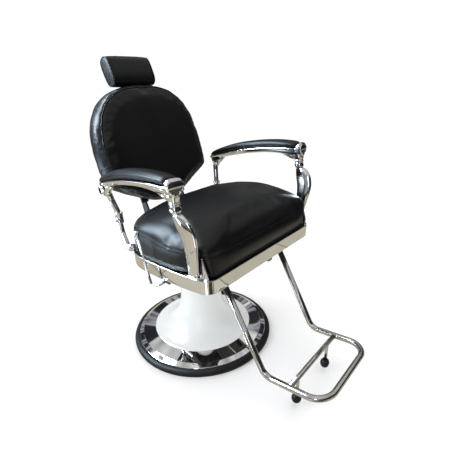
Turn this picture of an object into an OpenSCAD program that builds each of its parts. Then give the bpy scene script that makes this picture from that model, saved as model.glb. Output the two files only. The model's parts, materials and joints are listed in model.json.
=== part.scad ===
// Hydraulic barber chair: lifting, swivelling and reclining chair on a round weighted base.
// Sitter faces -Y, +Z is up, origin on the floor on the column axis. All sizes in millimetres.

/* [Base and column] */
// Outside diameter of the rubber edge of the base
base_d = 600; // [560:5:640]
// Outside diameter of the straight part of the white pedestal
column_d = 169; // [160:1:176]
// Outside diameter of the foot of the white pedestal
skirt_d = 414; // [380:2:440]
// Diameter of the hydraulic ram
ram_d = 60; // [50:1:62]

/* [Seat] */
// Widest distance across the chromed seat band
seat_w = 608; // [590:2:620]
// Distance from the column axis to the front of the seat band
seat_front = 342; // [338:1:350]
// Height of the chromed band
band_h = 45; // [40:1:50]
// Thickness of the seat cushion at its crown
cushion_h = 152; // [130:1:160]

/* [Backrest and headrest] */
// Widest distance across the backrest
back_w = 452; // [420:2:456]
// Lean of the backrest from vertical with the chair upright
back_tilt = 15; // [13:1:16]
// Width of the headrest pad
head_w = 176; // [160:2:220]

/* [Arms] */
// Width of an armrest pad
pad_w = 52; // [46:1:56]

/* [Footrest] */
// Distance between the centres of the two footrest legs
foot_w = 322; // [318:2:330]
// Diameter of the footrest tube
tube_d = 22; // [20:1:24]

/* [Hidden] */
$fn = 64;
running = 0.05;

// heights of the seat stack
band_z = 459;
ledge_z = band_z + band_h;
frame_z = 462;
board_t = 12;

// seat outline in plan
seat_half = seat_w / 2;
seat_rear = 76;
bow_r = 1470;
bow_y = -110;
bow_c = bow_r - seat_half;
front_r = 45;
rear_r = 140;

// pivots, as y and z on the side view of the chair
recline_yz = [95, 455];
foot_yz = [-271.5, 441];
lever_yz = [-160, 449];
gas_r = 70;
link_r = 30;
foot_r = link_r * sin(22.5) / sin(12.5);
gas_z = 388;
link_x = 118;
gas_x = -118;
upright_x = 94;

// backrest reference point, on its front face
back_y = 146;
back_z = 700;

// pedal direction in plan
pedal_dir = 53;

chrome = [0.80, 0.81, 0.82];
steel = [0.55, 0.56, 0.58];
dark_steel = [0.20, 0.20, 0.21];
vinyl = [0.06, 0.06, 0.07];
rubber = [0.04, 0.04, 0.04];
white = [0.93, 0.93, 0.92];
wood = [0.62, 0.47, 0.30];

function unit(v) = v / norm(v);
function arc(c, r, a0, a1, n) = [for (i = [0:n]) c + r * [cos(a0 + (a1 - a0) * i / n),
    sin(a0 + (a1 - a0) * i / n)]];
function flip(pts) = [for (i = [len(pts) - 1:-1:0]) [-pts[i][0], pts[i][1]]];
function corner_x(r, yc) = sqrt(pow(bow_r - r, 2) - pow(yc - bow_y, 2)) - bow_c;

// Round bar between two points
module rod(a, b, d) {
  v = b - a;
  translate(a)
    rotate([0, acos(v[2] / norm(v)), atan2(v[1], v[0])])
      cylinder(d = d, h = norm(v));
}

// Quarter-style elbow of round bar at corner p1 between p0 and p2
module elbow(p0, p1, p2, d, r) {
  a = unit(p0 - p1);
  b = unit(p2 - p1);
  half = acos(a * b) / 2;
  c = p1 + unit(a + b) * r / sin(half);
  t1 = p1 + a * r / tan(half);
  t2 = p1 + b * r / tan(half);
  x = unit(t1 - c);
  z = unit(cross(t1 - c, t2 - c));
  y = cross(z, x);
  multmatrix([[x[0], y[0], z[0], c[0]], [x[1], y[1], z[1], c[1]], [x[2], y[2], z[2], c[2]], [0, 0, 0, 1]])
    rotate_extrude(angle = 180 - 2 * half) translate([r, 0]) circle(d = d + 0.12);
}

function setback(p0, p1, p2, r) = r / tan(acos(unit(p0 - p1) * unit(p2 - p1)) / 2);

// Round bar bent along a list of corner points, radii[i] is the bend radius at point i.
// Each straight reaches 0.5 into its elbow, which is 0.06 larger all round.
module bent_bar(p, d, radii) {
  n = len(p);
  s = [for (i = [0:n - 1]) (i == 0 || i == n - 1) ? 0 : setback(p[i - 1], p[i], p[i + 1],
      radii[i]) - 0.5];
  for (i = [0:n - 2])
    rod(p[i] + unit(p[i + 1] - p[i]) * s[i], p[i + 1] - unit(p[i + 1] - p[i]) * s[i + 1], d);
  for (i = [1:n - 2])
    elbow(p[i - 1], p[i], p[i + 1], d, radii[i]);
}

// Plate standing in the side view, cut from a y-z outline, between x0 and x1
module side_plate(x0, x1) {
  translate([x0, 0, 0])
    rotate([90, 0, 90])
      linear_extrude(height = x1 - x0) children();
}

// Round hole or pin along x at a y-z point
module cross_pin(yz, d, x0, x1) {
  translate([x0, yz[0], yz[1]])
    rotate([0, 90, 0])
      cylinder(d = d, h = x1 - x0);
}

// ---------- base ----------

module base_rubber_ring() {
  color(rubber) rotate_extrude($fn = 128)
    polygon([[268, 0], [base_d / 2 - 3, 0], [base_d / 2, 3], [base_d / 2, 13], [base_d / 2 - 4, 20],
        [base_d / 2 - 12, 24], [268, 24]]);
}

module base_plate() {
  color(dark_steel) difference() {
    cylinder(r = 268, h = 14, $fn = 128);
    for (a = [45:90:315]) rotate([0, 0, a]) translate([62, 0, 3]) cylinder(d = 9, h = 12, $fn = 24);
  }
}

module base_trim_ring() {
  r = skirt_d / 2;
  color(chrome) rotate_extrude($fn = 128)
    polygon([[base_d / 2 - 13, 24], [base_d / 2 - 17, 28], [262, 37], [r - 3, 46], [r - 3, 43],
        [261, 34], [272, 30], [272, 24]]);
}

function flare(t, r0, r1) = [r1 - (r1 - r0) * cos(t), 215 - 165 * sin(t)];

module pedestal() {
  r0 = column_d / 2;
  r1 = skirt_d / 2;
  outer = [for (t = [0:7.5:90]) flare(t, r0, r1)];
  inner = [for (t = [90:-7.5:0]) flare(t, r0 - 4, r1 - 4) + [0, -3]];
  color(white) difference() {
    rotate_extrude($fn = 96)
      polygon(concat([[r0, 385]], outer, [[r1, 46], [r1 - 4, 46]], inner, [[r0 - 4, 385]]));
    rotate([0, 0, pedal_dir]) translate([80, -17, 84]) cube([70, 34, 70]);
  }
}

module pedestal_cap() {
  color(chrome) difference() {
    translate([0, 0, 378]) cylinder(d = column_d - 8, h = 7);
    translate([0, 0, 377]) cylinder(d = 106, h = 9);
  }
}

module hydraulic_cylinder() {
  color(steel) difference() {
    union() {
      translate([0, 0, 14]) cylinder(d = 80, h = 356);
      translate([0, 0, 14]) cylinder(d = 154, h = 10);
    }
    translate([0, 0, 30]) cylinder(d = ram_d + 2 * running, h = 350);
    for (a = [45:90:315]) rotate([0, 0, a]) translate([62, 0, 13]) cylinder(d = 9, h = 12, $fn = 24);
  }
}

module cylinder_gland() {
  color(chrome) difference() {
    translate([0, 0, 370]) cylinder(d = 104, h = 14);
    translate([0, 0, 369]) cylinder(d = ram_d + 4 * running, h = 16);
  }
}

module oil_reservoir() {
  color(dark_steel) difference() {
    translate([0, 0, 24]) cylinder(d = 104, h = 246);
    translate([0, 0, 23]) cylinder(d = 96, h = 243);
    translate([0, 0, 265]) cylinder(d = 80, h = 6);
  }
}

module base_bolts() {
  color(steel) for (a = [45:90:315]) rotate([0, 0, a]) translate([62, 0, 0]) {
    translate([0, 0, 5]) cylinder(d = 8.4, h = 19, $fn = 24);
    translate([0, 0, 24]) cylinder(d = 15, h = 6, $fn = 6);
  }
}

// ---------- foot pump ----------

module pump_block() {
  color(dark_steel) rotate([0, 0, pedal_dir]) difference() {
    union() {
      translate([52.5, -22, 24]) cube([46, 44, 74]);
      for (y = [-22, 13]) translate([58, y, 98]) cube([22, 9, 32]);
    }
    translate([87, 0, 40]) cylinder(d = 14 + 2 * running, h = 60);
    translate([70, 30, 120]) rotate([90, 0, 0]) cylinder(d = 10, h = 60);
    rotate([0, 0, -8]) translate([62, 0, 23]) cylinder(d = 17, h = 8);
  }
}

module pump_plunger() {
  color(chrome) rotate([0, 0, pedal_dir]) translate([87, 0, 56]) cylinder(d = 14, h = 55);
}

module pedal_pin() {
  color(steel) rotate([0, 0, pedal_dir]) translate([70, 24, 120]) rotate([90, 0, 0])
      cylinder(d = 10, h = 48);
}

module pedal_lever() {
  color(chrome) rotate([0, 0, pedal_dir]) difference() {
    union() {
      translate([70, 11, 120]) rotate([90, 0, 0]) cylinder(d = 22, h = 22);
      translate([0, 8, 0]) rotate([90, 0, 0]) linear_extrude(height = 16)
        polygon([[70, 112], [84, 111.5], [96, 112.5], [250, 126], [372, 136], [372, 150], [245, 141],
            [90, 130], [70, 131]]);
    }
    translate([70, 12, 120]) rotate([90, 0, 0]) cylinder(d = 10 + 2 * running, h = 24);
  }
}

module pedal_pad() {
  color(rubber) rotate([0, 0, pedal_dir]) translate([372.2, 0, 143]) difference() {
    translate([-30, -38, -12]) cube([58, 76, 22]);
    translate([-31, -8.5, -12.5]) rotate([0, -4.5, 0]) cube([32, 17, 19]);
    for (y = [-32:12:28]) translate([-31, y, 8]) cube([60, 4, 3]);
  }
}

// ---------- lift and swivel ----------

module hydraulic_ram() {
  color(chrome) {
    translate([0, 0, 140]) cylinder(d = ram_d, h = 256);
    translate([0, 0, 396]) cylinder(d = 44, h = 46);
  }
}

module thrust_washer() {
  color(steel) difference() {
    translate([0, 0, 396]) cylinder(d = 66, h = 4);
    translate([0, 0, 395]) cylinder(d = 44, h = 6);
  }
}

module swivel_hub() {
  color(dark_steel) difference() {
    union() {
      translate([0, 0, 400.2]) cylinder(d = 74, h = 51);
      translate([-78, -78, 452]) cube([156, 149, 10]);
      translate([-78, -5, 424]) cube([156, 10, 28]);
      translate([-5, -78, 424]) cube([10, 149, 28]);
      translate([0, 0, 450]) cylinder(d = 74, h = 4);
    }
    translate([0, 0, 399]) cylinder(d = 44 + 2 * running, h = 47);
    for (x = [-60, 60]) for (y = [-60, 60]) translate([x, y, 440]) cylinder(d = 12.4, h = 30, $fn = 32);
  }
}

module hub_bolts() {
  color(steel) for (x = [-60, 60]) for (y = [-60, 60]) translate([x, y, 0]) {
    translate([0, 0, 444]) cylinder(d = 18, h = 8, $fn = 6);
    translate([0, 0, 452]) cylinder(d = 12, h = 32, $fn = 32);
  }
}

// ---------- seat ----------

// Plan of the seat, drawn in from the band by inset
module seat_plan(inset) {
  yf = front_r - seat_front;
  yr = seat_rear - rear_r;
  xf = corner_x(front_r, yf);
  xr = corner_x(rear_r, yr);
  af = atan2(yf - bow_y, xf + bow_c);
  ar = atan2(yr - bow_y, xr + bow_c);
  half = concat(
    arc([xf, yf], front_r - inset, -90, af, 8),
    arc([-bow_c, bow_y], bow_r - inset, af + 0.9, ar - 0.9, 7),
    arc([xr, yr], rear_r - inset, ar, 90, 12));
  polygon(concat(half, flip(half)));
}

module seat_frame() {
  top = ledge_z - 3;
  color(dark_steel) difference() {
    union() {
      translate([0, 0, frame_z]) linear_extrude(height = top - board_t - frame_z) difference() {
        seat_plan(3);
        seat_plan(27);
      }
      translate([0, 0, frame_z]) linear_extrude(height = top - board_t - frame_z) intersection() {
        seat_plan(20);
        union() {
          for (x = [-75, 45]) translate([x, -400]) square([30, 600]);
          for (y = [-290, -75, 45]) translate([-400, y]) square([800, 30]);
          translate([-400, -212]) square([800, 52]);
        }
      }
      translate([0, 0, top - board_t]) linear_extrude(height = board_t) difference() {
        seat_plan(3);
        seat_plan(20);
      }
    }
    for (x = [-60, 60]) for (y = [-60, 60]) translate([x, y, 440]) cylinder(d = 12.4, h = 60, $fn = 32);
    for (x = [-284, 284]) translate([x, -286, 470]) cylinder(d = 8.4, h = 40, $fn = 24);
  }
}

module seat_band() {
  color(chrome) difference() {
    translate([0, 0, band_z]) linear_extrude(height = band_h) seat_plan(0);
    translate([0, 0, band_z - 1]) linear_extrude(height = band_h - 2) seat_plan(3);
    translate([0, 0, band_z - 1]) linear_extrude(height = band_h + 2) seat_plan(20.3);
    for (x = [-284, 284]) translate([x, -286, 470]) cylinder(d = 8.4, h = 40, $fn = 24);
  }
}

module seat_board() {
  color(wood) translate([0, 0, ledge_z - 3 - board_t]) linear_extrude(height = board_t + 3)
      seat_plan(20.6);
}

module seat_cushion() {
  top = ledge_z + cushion_h;
  color(vinyl) intersection() {
    translate([0, 0, ledge_z]) linear_extrude(height = cushion_h) difference() {
      seat_plan(10);
      for (x = [-290, 290]) translate([x - 22, -345]) square([44, 92]);
    }
    translate([0, 300, top - 640]) rotate([90, 0, 0]) cylinder(r = 640, h = 800, $fn = 180);
    translate([-400, -140, top - 520]) rotate([0, 90, 0]) cylinder(r = 520, h = 800, $fn = 180);
  }
}

// ---------- arms, s is +1 for the sitter's left and -1 for the right ----------

module front_strut(s) {
  color(chrome) {
    translate([s * 284, 0, 504]) rotate([0, s * 8.3, 0]) difference() {
      side_plate(-9, 9) polygon([
        [-308, 3], [-303, 16], [-308, 45], [-315, 80], [-321, 112], [-323, 138], [-319, 162],
        [-310, 182], [-297, 195], [-282, 201], [-266, 201], [-250, 198], [-248, 188], [-254, 166],
        [-262, 140], [-266, 112], [-267, 80], [-265, 45], [-262, 16], [-262, 3]]);
    }
    difference() {
      translate([s * 284 - 15, -312, 504]) cube([30, 54, 6]);
      translate([s * 284, -286, 500]) cylinder(d = 8.4, h = 8, $fn = 24);
    }
    side_plate(s * 274.5 - 3, s * 274.5 + 3)
      polygon([[-330, 504], [-298, 504], [-301, 532], [-306, 562], [-310, 570], [-316, 560],
          [-325, 532]]);
  }
}

module rear_strut(s) {
  color(chrome) {
    difference() {
      union() {
        bent_bar([[s * 264, 129, 664], [s * 251, 116, 604], [s * 250, 113, 528], [s * 268, 63, 493],
            [s * 258, 40, 493]], 20, [0, 40, 26, 16, 0]);
        rod([s * 268.8, 50.9, 493], [s * 262.3, 44.4, 493], 27);
      }
      translate([0, 0, band_z - 5]) linear_extrude(height = band_h + 10) seat_plan(0);
      translate([s * 250.4, 113.8, 567]) cylinder(d = 29.4, h = 36);
    }
  }
}

module rear_collars() {
  color(chrome) for (s = [-1, 1]) translate([s * 250.4, 113.8, 567]) cylinder(d = 29, h = 36);
}

// Frame of one armrest: local y runs back along the arm from its front
module arm_place(s) {
  translate([s * 313, -280, 0]) rotate([0, 0, s * 6.06]) children();
}

// The outer edge bows out more than the inner one
module arm_plan(grow, s) {
  w = pad_w / 2 + grow;
  outer = [[w - 9, 6], [w - 3, 14], [w, 28], [w + 2, 60], [w + 5, 120], [w + 6, 200], [w + 3, 280],
      [w - 3, 340], [w - 10, 400], [w - 18, 430]];
  inner = [[w - 9, 6], [w - 3, 14], [w, 28], [w + 1, 60], [w, 120], [w - 1, 220], [w - 4, 300],
      [w - 8, 360], [w - 13, 400], [w - 19, 430]];
  polygon(concat([for (p = outer) [s * p[0], p[1]]],
      [for (i = [9:-1:0]) [-s * inner[i][0], inner[i][1]]]));
}

module arm_casting(s) {
  color(chrome) arm_place(s) {
    intersection() {
      side_plate(-50, 50) polygon([
        [6, 769], [7, 790], [18, 796], [26, 793], [26, 776], [60, 776], [120, 772.5], [200, 762],
        [290, 745], [360, 726.5], [425, 707], [438, 703.5], [440, 697], [430, 690], [400, 701],
        [360, 710], [300, 724], [230, 739], [170, 747], [110, 750], [60, 748], [20, 752]]);
      union() {
        translate([0, 0, 600]) linear_extrude(height = 300) arm_plan(1.5, s);
        translate([-9, 400, 600]) cube([18, 60, 300]);
      }
    }
    side_plate(-13, 13) polygon([[8, 768], [4, 738], [6, 705], [32, 705], [44, 726], [68, 752],
        [62, 770]]);
    side_plate(-11, 11) polygon([[356, 716], [392, 686], [402, 667.6], [420, 667.6], [432, 682],
        [438, 700], [425, 704]]);
  }
}

module arm_pad(s) {
  color(vinyl) arm_place(s) intersection() {
    side_plate(-50, 50) polygon([
      [26.5, 776.2], [60, 776.2], [120, 772.7], [200, 762.2], [290, 745.2], [360, 726.7],
      [425, 707.2], [434, 706], [434, 716], [426, 723], [400, 736], [360, 751], [300, 769.5],
      [220, 786], [140, 796.5], [70, 799.5], [36, 798], [26.5, 793]]);
    translate([0, 0, 600]) linear_extrude(height = 300) arm_plan(0, s);
  }
}

module strut_bolts() {
  color(steel) for (x = [-284, 284]) translate([x, -286, 0]) {
    translate([0, 0, 480]) cylinder(d = 8, h = 25.2, $fn = 24);
  }
}

// ---------- recline hinge and linkage ----------

module recline_brackets() {
  h = recline_yz;
  color(dark_steel) for (x = [-170, -137, 137, 170]) difference() {
    side_plate(x - 4, x + 4) polygon([[40, 462], [70, 462], [71.5, 457], [h[0] + 6, h[1] + 17],
        [h[0] + 16, h[1] + 8], [h[0] + 16, h[1] - 10], [h[0] + 6, h[1] - 17], [h[0] - 12, h[1] - 14],
        [40, 446]]);
    cross_pin(h, 22 + 2 * running, x - 5, x + 5);
  }
}

module recline_shaft() {
  color(steel) cross_pin(recline_yz, 22, -176, 176);
}

// Levers under the recline shaft, for the gas spring and for the footrest link
function recline_pin(r) = recline_yz + r * [sin(22.5), -cos(22.5)];

module lever_outline(a, b, ra, rb) {
  turn = atan2(b[1] - a[1], b[0] - a[0]);
  off = acos((ra - rb) / norm(b - a));
  edge = [cos(turn + off), sin(turn + off)];
  other = [cos(turn - off), sin(turn - off)];
  translate(a) circle(r = ra);
  translate(b) circle(r = rb);
  polygon([a + ra * edge, b + rb * edge, b + rb * other, a + ra * other]);
}

module gas_lever() {
  g = recline_pin(gas_r);
  color(dark_steel) {
    for (x = [gas_x - 13, gas_x + 7]) difference() {
      side_plate(x, x + 6) lever_outline(recline_yz, g, 17, 10);
      cross_pin(recline_yz, 22, x - 1, x + 7);
    }
    cross_pin(g, 10, gas_x - 14, gas_x + 14);
  }
}

module link_lever() {
  g = recline_pin(link_r);
  color(dark_steel) {
    difference() {
      side_plate(link_x - 4, link_x + 4) lever_outline(recline_yz, g, 18, 10);
      cross_pin(recline_yz, 22, link_x - 5, link_x + 5);
    }
    cross_pin(g, 10, link_x - 5, link_x + 15);
  }
}

function foot_pin() = foot_yz + foot_r * [sin(12.5), -cos(12.5)];

module link_rod() {
  a = recline_pin(link_r);
  b = foot_pin();
  d = unit(b - a);
  color(steel) difference() {
    union() {
      rod([link_x + 9, a[0] + d[0] * 6, a[1] + d[1] * 6],
          [link_x + 9, b[0] - d[0] * 6, b[1] - d[1] * 6], 10);
      cross_pin(a, 24, link_x + 4.5, link_x + 13.5);
      cross_pin(b, 28, link_x + 4.5, link_x + 13.5);
    }
    cross_pin(a, 10 + 2 * running, link_x + 3, link_x + 15);
    cross_pin(b, 15, link_x + 3, link_x + 15);
  }
}

module gas_cylinder() {
  color(dark_steel) {
    difference() {
      union() {
        translate([gas_x, -178, gas_z]) rotate([-90, 0, 0]) cylinder(d = 28, h = 186);
        cross_pin([-192, gas_z], 26, gas_x - 6, gas_x + 6);
        translate([gas_x - 6, -192, gas_z - 8]) cube([12, 20, 16]);
      }
      translate([gas_x, -120, gas_z]) rotate([-90, 0, 0]) cylinder(d = 12 + 2 * running, h = 140);
      cross_pin([-192, gas_z], 10, gas_x - 7, gas_x + 7);
    }
  }
}

module gas_rod() {
  g = recline_pin(gas_r);
  color(chrome) difference() {
    union() {
      translate([gas_x, -50, gas_z]) rotate([-90, 0, 0]) cylinder(d = 12, h = g[0] + 50 - 9);
      translate([gas_x - 6, g[0] - 13, gas_z - 15]) cube([12, 26, 30]);
    }
    cross_pin([g[0], gas_z - 4], 12, gas_x - 7, gas_x + 7);
    cross_pin([g[0], gas_z + 4], 12, gas_x - 7, gas_x + 7);
    translate([gas_x - 7, g[0] - 6, gas_z - 4]) cube([14, 12, 8]);
  }
}

module gas_bracket() {
  color(dark_steel) for (x = [gas_x - 12.5, gas_x + 6.5]) difference() {
    side_plate(x, x + 6) polygon([[-212, 462], [-172, 462], [-181, 406], [-181, gas_z - 12],
        [-206, gas_z - 12]]);
    cross_pin([-192, gas_z], 10, x - 1, x + 7);
  }
}

module gas_front_pin() {
  color(steel) cross_pin([-192, gas_z], 10, gas_x - 14, gas_x + 14);
}

// ---------- recline release lever ----------

module release_lever() {
  y = lever_yz[0];
  z = lever_yz[1];
  color(chrome) {
    bent_bar([[-106, y, z], [-326, y, z], [-326, y + 31, z - 13], [-326, -92, 598]], 8, [0, 13, 11, 0]);
    side_plate(gas_x - 4, gas_x + 4) difference() {
      lever_outline([y, z], [y - 16, z - 30], 8, 5);
    }
  }
}

module release_knob() {
  color(chrome) difference() {
    translate([-326, -91, 603]) sphere(r = 9.5);
    rod([-326, -99.3, 563], [-326, -91.7, 599], 8.0);
  }
}

module release_bracket() {
  color(dark_steel) for (x = [-288, -146]) difference() {
    side_plate(x - 3, x + 3) polygon([[-176, 462], [-144, 462], [-148, 440], [-172, 440]]);
    cross_pin(lever_yz, 8 + 2 * running, x - 4, x + 4);
  }
}

// ---------- backrest ----------

module back_place() {
  translate([0, back_y, back_z]) rotate([-back_tilt, 0, 0]) children();
}

// Outline of the backrest, drawn in by inset: local x across and z along the slope
module back_outline(inset) {
  a = back_w / 2 - inset;
  b = 243 - inset;
  n = 2 / 2.8;
  crown = [for (t = [0:6:180]) [
    a * (cos(t) < 0 ? -1 : 1) * pow(abs(cos(t)), n),
    57 + b * pow(abs(sin(t)), n)]];
  side = [[-a + 4, -8 + inset], [-a + 14, -24 + inset * 0.6], [-170 + inset * 0.3, -43 + inset],
      [-76, -90 + inset], [-40, -104 + inset], [-20, -108 + inset]];
  polygon(concat(crown, side, flip(side)));
}

module back_slab(y0, y1, inset) {
  translate([0, y1, 0]) rotate([90, 0, 0]) linear_extrude(height = y1 - y0) back_outline(inset);
}

module back_cushion() {
  color(vinyl) back_place() back_slab(0, 42, 0);
}

module back_board() {
  color(wood) back_place() difference() {
    back_slab(42.2, 52, 3);
    for (x = [-upright_x, upright_x]) for (z = [20, 130]) translate([x, 40, z]) rotate([-90, 0, 0])
        cylinder(d = 6.4, h = 20, $fn = 24);
  }
}

module back_rear_panel() {
  color(vinyl) back_place() difference() {
    back_slab(52.2, 93, 0);
    back_slab(51, 89, 10);
    for (x = [-upright_x, upright_x]) translate([x - 16, 51, -120]) cube([32, 21, 90]);
    for (x = [-31, 31]) translate([x, 63, 250]) cylinder(d = 14, h = 80, $fn = 32);
  }
}

module back_uprights() {
  h = recline_yz;
  p = [back_y + 61 * cos(back_tilt) - 100 * sin(back_tilt),
      back_z - 61 * sin(back_tilt) - 100 * cos(back_tilt)];
  color(dark_steel) for (s = [-1, 1]) {
    back_place() difference() {
      translate([s * upright_x - 15, 52.4, -104]) cube([30, 8, 262]);
      for (z = [20, 130]) translate([s * upright_x, 40, z]) rotate([-90, 0, 0])
          cylinder(d = 6.4, h = 40, $fn = 24);
    }
    difference() {
      side_plate(s * upright_x - 4, s * upright_x + 4) polygon([
        p + [-13, -2], p + [4, 28], p + [14, 26], p + [12, -14], [178, 520], [140, 470],
            [h[0] + 15, h[1] - 12],
        [h[0], h[1] - 18], [h[0] - 14, h[1] - 10], [h[0] - 14, h[1] + 14], [112, 490], [150, 545]]);
      cross_pin(h, 22, s * upright_x - 5, s * upright_x + 5);
    }
  }
}

module back_screws() {
  color(steel) back_place() for (x = [-upright_x, upright_x]) for (z = [20, 130])
    translate([x, 0, z]) rotate([-90, 0, 0]) {
    translate([0, 0, 43]) cylinder(d = 6, h = 18, $fn = 24);
    translate([0, 0, 60.4]) cylinder(d = 12, h = 4, $fn = 24);
  }
}

// ---------- headrest ----------

module headrest_guides() {
  color(steel) back_place() {
    for (x = [-31, 31]) difference() {
      translate([x, 63, 130]) cylinder(d = 19, h = 150);
      translate([x, 63, 129]) cylinder(d = 12 + 2 * running, h = 152);
    }
    for (z = [136, 252]) difference() {
      translate([-60, 52.4, z]) cube([120, 4, 18]);
      for (x = [-31, 31]) translate([x, 63, z - 1]) cylinder(d = 19, h = 20);
    }
  }
}

module head_place() {
  back_place() translate([0, 56.6, 357]) rotate([-9, 0, 0]) children();
}

module head_section(inset) {
  hy = 28.5 - inset;
  hz = 50 - inset;
  r = 24 - inset;
  square([2 * hy - 2 * r, 2 * hz], center = true);
  square([2 * hy, 2 * hz - 2 * r], center = true);
  for (y = [-1, 1]) for (z = [-1, 1]) translate([y * (hy - r), z * (hz - r)]) circle(r = r);
}

module headrest_pad() {
  color(vinyl) difference() {
    head_place() difference() {
      side_plate(-head_w / 2, head_w / 2) head_section(0);
      translate([-56, 0, -20]) cube([112, 18, 56]);
    }
    back_place() for (x = [-31, 31]) translate([x, 63, 290]) cylinder(d = 12.6, h = 60);
  }
}

module headrest_core() {
  color(wood) difference() {
    head_place() translate([-56, 0, -20]) cube([112, 18, 56]);
    back_place() for (x = [-31, 31]) translate([x, 63, 290]) cylinder(d = 12, h = 70);
  }
}

module headrest_posts() {
  color(chrome) {
    back_place() for (x = [-31, 31]) translate([x, 63, 150]) cylinder(d = 12, h = 210);
    back_place() translate([-31, 60.5, 300.8]) cube([62, 5, 4]);
  }
}

// ---------- footrest ----------

module footrest_tube() {
  x = foot_w / 2;
  f = foot_yz;
  d = unit([0, -454, 124] - [0, f[0], f[1]]);
  top = [0, f[0], f[1]] - d * 12;
  color(steel) difference() {
    bent_bar([
      [x, top[1], top[2]], [x, -454, 124], [x, -675, 147],
      [-x, -675, 147], [-x, -454, 124], [-x, top[1], top[2]]], tube_d, [0, 45, 65, 65, 45, 0]);
    cross_pin(f, 14, -x - 20, x + 20);
  }
}

module footrest_crossbar() {
  x = foot_w / 2;
  color(steel) {
    difference() {
      rod([-x, -549, 133.9], [x, -549, 133.9], 18);
      for (s = [-1, 1]) rod([s * x, -500, 128.8], [s * x, -600, 139.2], tube_d);
    }
    for (s = [-105, 105]) translate([s, -549, 40]) cylinder(d = 12, h = 94);
  }
}

module footrest_feet() {
  color(rubber) for (x = [-105, 105]) difference() {
    translate([x, -549, 0]) rotate_extrude()
      polygon([[0, 21], [9, 21], [14, 26], [17, 34], [17, 42], [14, 50], [9, 55], [0, 55]]);
    translate([x, -549, 40]) cylinder(d = 12, h = 20);
  }
}

module footrest_axle() {
  color(steel) cross_pin(foot_yz, 14, -foot_w / 2 - 13, foot_w / 2 + 13);
}

module footrest_brackets() {
  f = foot_yz;
  color(dark_steel) for (x = [-138, -100, 100, 138]) difference() {
    side_plate(x - 3.5, x + 3.5) polygon([[f[0] - 18, 462], [f[0] + 18, 462], [f[0] + 14, f[1] - 6],
        [f[0] + 5, f[1] - 13], [f[0] - 5, f[1] - 13], [f[0] - 14, f[1] - 6]]);
    cross_pin(f, 14 + 2 * running, x - 5, x + 5);
  }
}

module footrest_lever() {
  color(dark_steel) {
    difference() {
      side_plate(link_x - 4, link_x + 4) lever_outline(foot_yz, foot_pin(), 13, 9);
      cross_pin(foot_yz, 14, link_x - 5, link_x + 5);
    }
    cross_pin(foot_pin(), 10, link_x - 5, link_x + 15);
  }
}

base_rubber_ring();
base_plate();
base_trim_ring();
pedestal();
pedestal_cap();
hydraulic_cylinder();
cylinder_gland();
oil_reservoir();
base_bolts();
pump_block();
pump_plunger();
pedal_pin();
pedal_lever();
pedal_pad();
hydraulic_ram();
thrust_washer();
swivel_hub();
hub_bolts();
seat_frame();
seat_band();
seat_board();
seat_cushion();
front_strut(1);  // front_strut_left
front_strut(-1);  // front_strut_right
rear_strut(1);  // rear_strut_left
rear_strut(-1);  // rear_strut_right
rear_collars();
arm_casting(1);  // arm_casting_left
arm_casting(-1);  // arm_casting_right
arm_pad(1);  // arm_pad_left
arm_pad(-1);  // arm_pad_right
strut_bolts();
recline_brackets();
recline_shaft();
gas_lever();
link_lever();
link_rod();
gas_cylinder();
gas_rod();
gas_bracket();
gas_front_pin();
release_lever();
release_knob();
release_bracket();
back_cushion();
back_board();
back_rear_panel();
back_uprights();
back_screws();
headrest_guides();
headrest_pad();
headrest_core();
headrest_posts();
footrest_tube();
footrest_crossbar();
footrest_feet();
footrest_axle();
footrest_brackets();
footrest_lever();
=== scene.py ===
import json
import math

import bmesh
import bpy
from mathutils import Matrix, Vector, noise
from mathutils.bvhtree import BVHTree
from mathutils.kdtree import KDTree


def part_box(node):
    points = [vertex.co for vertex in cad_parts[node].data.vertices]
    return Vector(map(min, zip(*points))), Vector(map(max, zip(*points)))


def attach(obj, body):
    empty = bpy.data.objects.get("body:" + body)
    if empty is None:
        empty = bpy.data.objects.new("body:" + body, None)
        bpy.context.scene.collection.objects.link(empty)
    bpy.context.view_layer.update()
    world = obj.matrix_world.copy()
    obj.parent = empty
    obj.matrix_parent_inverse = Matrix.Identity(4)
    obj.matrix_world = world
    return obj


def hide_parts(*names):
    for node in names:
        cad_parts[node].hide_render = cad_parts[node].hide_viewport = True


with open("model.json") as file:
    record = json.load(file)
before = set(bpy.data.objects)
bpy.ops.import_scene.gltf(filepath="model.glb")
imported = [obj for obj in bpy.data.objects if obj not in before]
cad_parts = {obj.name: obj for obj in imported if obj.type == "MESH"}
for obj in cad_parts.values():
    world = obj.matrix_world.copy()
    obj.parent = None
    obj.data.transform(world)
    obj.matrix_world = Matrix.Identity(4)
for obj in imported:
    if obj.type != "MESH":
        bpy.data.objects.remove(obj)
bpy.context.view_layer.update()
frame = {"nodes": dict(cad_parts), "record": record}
scene = bpy.context.scene
nodes = frame["nodes"]


def linked(name, data):
    """New object in the scene."""
    made = bpy.data.objects.new(name, data)
    scene.collection.objects.link(made)
    return made


def facing(way, axis="Z"):
    """Turn that points an axis along a direction."""
    return Vector(way).normalized().to_track_quat(axis, "Y").to_matrix().to_4x4()


# ---- camera, light and floor

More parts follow.
